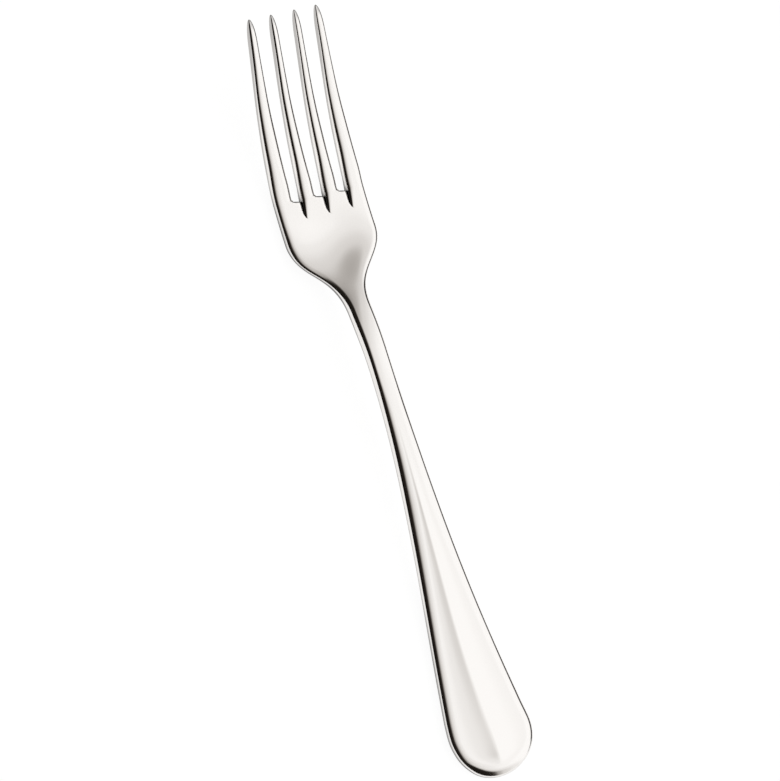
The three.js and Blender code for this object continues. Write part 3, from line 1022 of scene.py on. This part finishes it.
def studio():
    """Light from all around by its direction, and plain white where the camera looks past the table."""
    world = bpy.data.worlds.new("studio")
    bpy.context.scene.world = world
    world.use_nodes = True
    nodes, link = world.node_tree.nodes, world.node_tree.links.new
    nodes.clear()
    direction = nodes.new("ShaderNodeTexCoord")
    part = nodes.new("ShaderNodeSeparateXYZ")
    link(direction.outputs["Generated"], part.inputs["Vector"])
    far = past(nodes, link, part.outputs["Y"], 1, FAR_TURN_FROM)
    side = calculate(nodes, link, "MULTIPLY_ADD", far, -FAR_TURN, part.outputs["X"])
    near = past(nodes, link, part.outputs["Y"], -1, NEAR_TURN_FROM)
    near = calculate(nodes, link, "MINIMUM", near, NEAR_TURN_REACH)
    side = calculate(nodes, link, "MULTIPLY_ADD", near, -NEAR_TURN, side)
    dark_side = calculate(nodes, link, "MINIMUM", side, 0)
    contrast = calculate(nodes, link, "MULTIPLY", near, NEAR_CONTRAST)
    side = calculate(nodes, link, "MULTIPLY_ADD", dark_side, contrast, side)
    elevation = calculate(nodes, link, "MULTIPLY_ADD", far, -FAR_SINK, part.outputs["Z"])
    near = past(nodes, link, part.outputs["Y"], -1, NEAR_LIFT_FROM)
    elevation = calculate(nodes, link, "MULTIPLY_ADD", near, NEAR_LIFT, elevation)
    light = nodes.new("ShaderNodeVectorMath")
    light.operation = "MULTIPLY"
    link(light_ramp(nodes, link, side, LIGHT_BY_SIDE), light.inputs[0])
    link(light_ramp(nodes, link, elevation, LIGHT_BY_ELEVATION), light.inputs[1])
    room = nodes.new("ShaderNodeBackground")
    link(light.outputs["Vector"], room.inputs["Color"])
    white = nodes.new("ShaderNodeBackground")
    white.inputs["Color"].default_value = (1, 1, 1, 1)
    rays = nodes.new("ShaderNodeLightPath")
    below = calculate(nodes, link, "LESS_THAN", part.outputs["Z"], 0)
    pick = nodes.new("ShaderNodeMixShader")
    link(calculate(nodes, link, "MAXIMUM", rays.outputs["Is Camera Ray"], below), pick.inputs["Fac"])
    link(room.outputs["Background"], pick.inputs[1])
    link(white.outputs["Background"], pick.inputs[2])
    result = nodes.new("ShaderNodeOutputWorld")
    link(pick.outputs["Shader"], result.inputs["Surface"])


TABLE_HALF = 0.7
TABLE_DROP = 0.00003
# How much shade and how much light of its own the table has, seen by the camera and mirrored in the steel
SHADE_SEEN = 0.2
GLOW_SEEN = 0.94
SHADE_MIRRORED = 0.4
GLOW_MIRRORED = 0.75
# Painted contact shadow: how near and how much the table's glow, as mirrored in the steel, is darkened next to
# the fork
CONTACT_SHADOW_REACH = 0.002
CONTACT_SHADOW_DEPTH = 0.4


def table():
    """A plain white table that keeps the soft shadow under the fork."""
    corners = [(x * TABLE_HALF, y * TABLE_HALF, -TABLE_DROP) for x, y in ((-1, -1), (1, -1), (1, 1), (-1, 1))]
    mesh = bpy.data.meshes.new("table")
    mesh.from_pydata(corners, [], [(0, 1, 2, 3)])
    top = bpy.data.objects.new("table", mesh)
    bpy.context.scene.collection.objects.link(top)
    cloth = bpy.data.materials.new("white_table")
    cloth.use_nodes = True
    cloth.cycles.emission_sampling = "NONE"
    nodes, link = cloth.node_tree.nodes, cloth.node_tree.links.new
    nodes.clear()
    rays = nodes.new("ShaderNodeLightPath")
    mirrored = rays.outputs["Is Glossy Ray"]
    matte = nodes.new("ShaderNodeBsdfDiffuse")
    shade = calculate(nodes, link, "MULTIPLY_ADD", mirrored, SHADE_MIRRORED - SHADE_SEEN, SHADE_SEEN)
    link(shade, matte.inputs["Color"])
    glow = nodes.new("ShaderNodeEmission")
    # Painted contact shadow: in the steel's reflections the glow is darker where an ambient occlusion node
    # finds the fork close by
    contact = nodes.new("ShaderNodeAmbientOcclusion")
    contact.inputs["Distance"].default_value = CONTACT_SHADOW_REACH
    open_air = calculate(nodes, link, "MULTIPLY_ADD", contact.outputs["AO"], 1 + CONTACT_SHADOW_DEPTH, -CONTACT_SHADOW_DEPTH)
    change = calculate(nodes, link, "MULTIPLY_ADD", open_air, GLOW_MIRRORED, -GLOW_SEEN)
    link(calculate(nodes, link, "MULTIPLY_ADD", mirrored, change, GLOW_SEEN), glow.inputs["Strength"])
    both = nodes.new("ShaderNodeAddShader")
    link(matte.outputs["BSDF"], both.inputs[0])
    link(glow.outputs["Emission"], both.inputs[1])
    result = nodes.new("ShaderNodeOutputMaterial")
    link(both.outputs["Shader"], result.inputs["Surface"])
    mesh.materials.append(cloth)
    return top


# Camera: leans to the fork's left and to its handle, and is turned so that the points stand at the upper left
CAMERA_TO_LEFT = math.radians(21.03)
CAMERA_TO_HANDLE = math.radians(7.03)
CAMERA_TURN = math.radians(17.72)
CAMERA_DISTANCE = 1.0
CAMERA_AIM = Vector((0, 0, 0.006))
PICTURE_WIDTH = 780
PIXELS_PER_MM = 3.3002
PICTURE_OFFSET = Vector((-3.09, 4.79))
SENSOR_WIDTH = 36


def photographer():
    """The camera, at the photograph's angle, distance and framing."""
    towards = Vector((-math.tan(CAMERA_TO_LEFT), -math.tan(CAMERA_TO_HANDLE), 1)).normalized()
    along = Vector((0, 1, 0))
    along = (along - towards * along.dot(towards)).normalized()
    beside = along.cross(towards)
    up = along * math.cos(CAMERA_TURN) + beside * math.sin(CAMERA_TURN)
    right = up.cross(towards)
    offset = PICTURE_OFFSET / PIXELS_PER_MM * MM
    place = CAMERA_AIM + towards * CAMERA_DISTANCE - right * offset.x + up * offset.y
    data = bpy.data.cameras.new("camera")
    data.sensor_width = SENSOR_WIDTH
    data.sensor_fit = "HORIZONTAL"
    data.lens = PIXELS_PER_MM / MM * CAMERA_DISTANCE / PICTURE_WIDTH * SENSOR_WIDTH
    camera = bpy.data.objects.new("camera", data)
    turn = Matrix((right, up, towards)).transposed().to_4x4()
    camera.matrix_world = Matrix.Translation(place) @ turn
    bpy.context.scene.collection.objects.link(camera)
    bpy.context.scene.camera = camera


bpy.context.scene.view_settings.view_transform = "Standard"
fork = press(forge_blank(), polished_steel())
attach(fork, "root")
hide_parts(*ZONES)
table()
studio()
photographer()
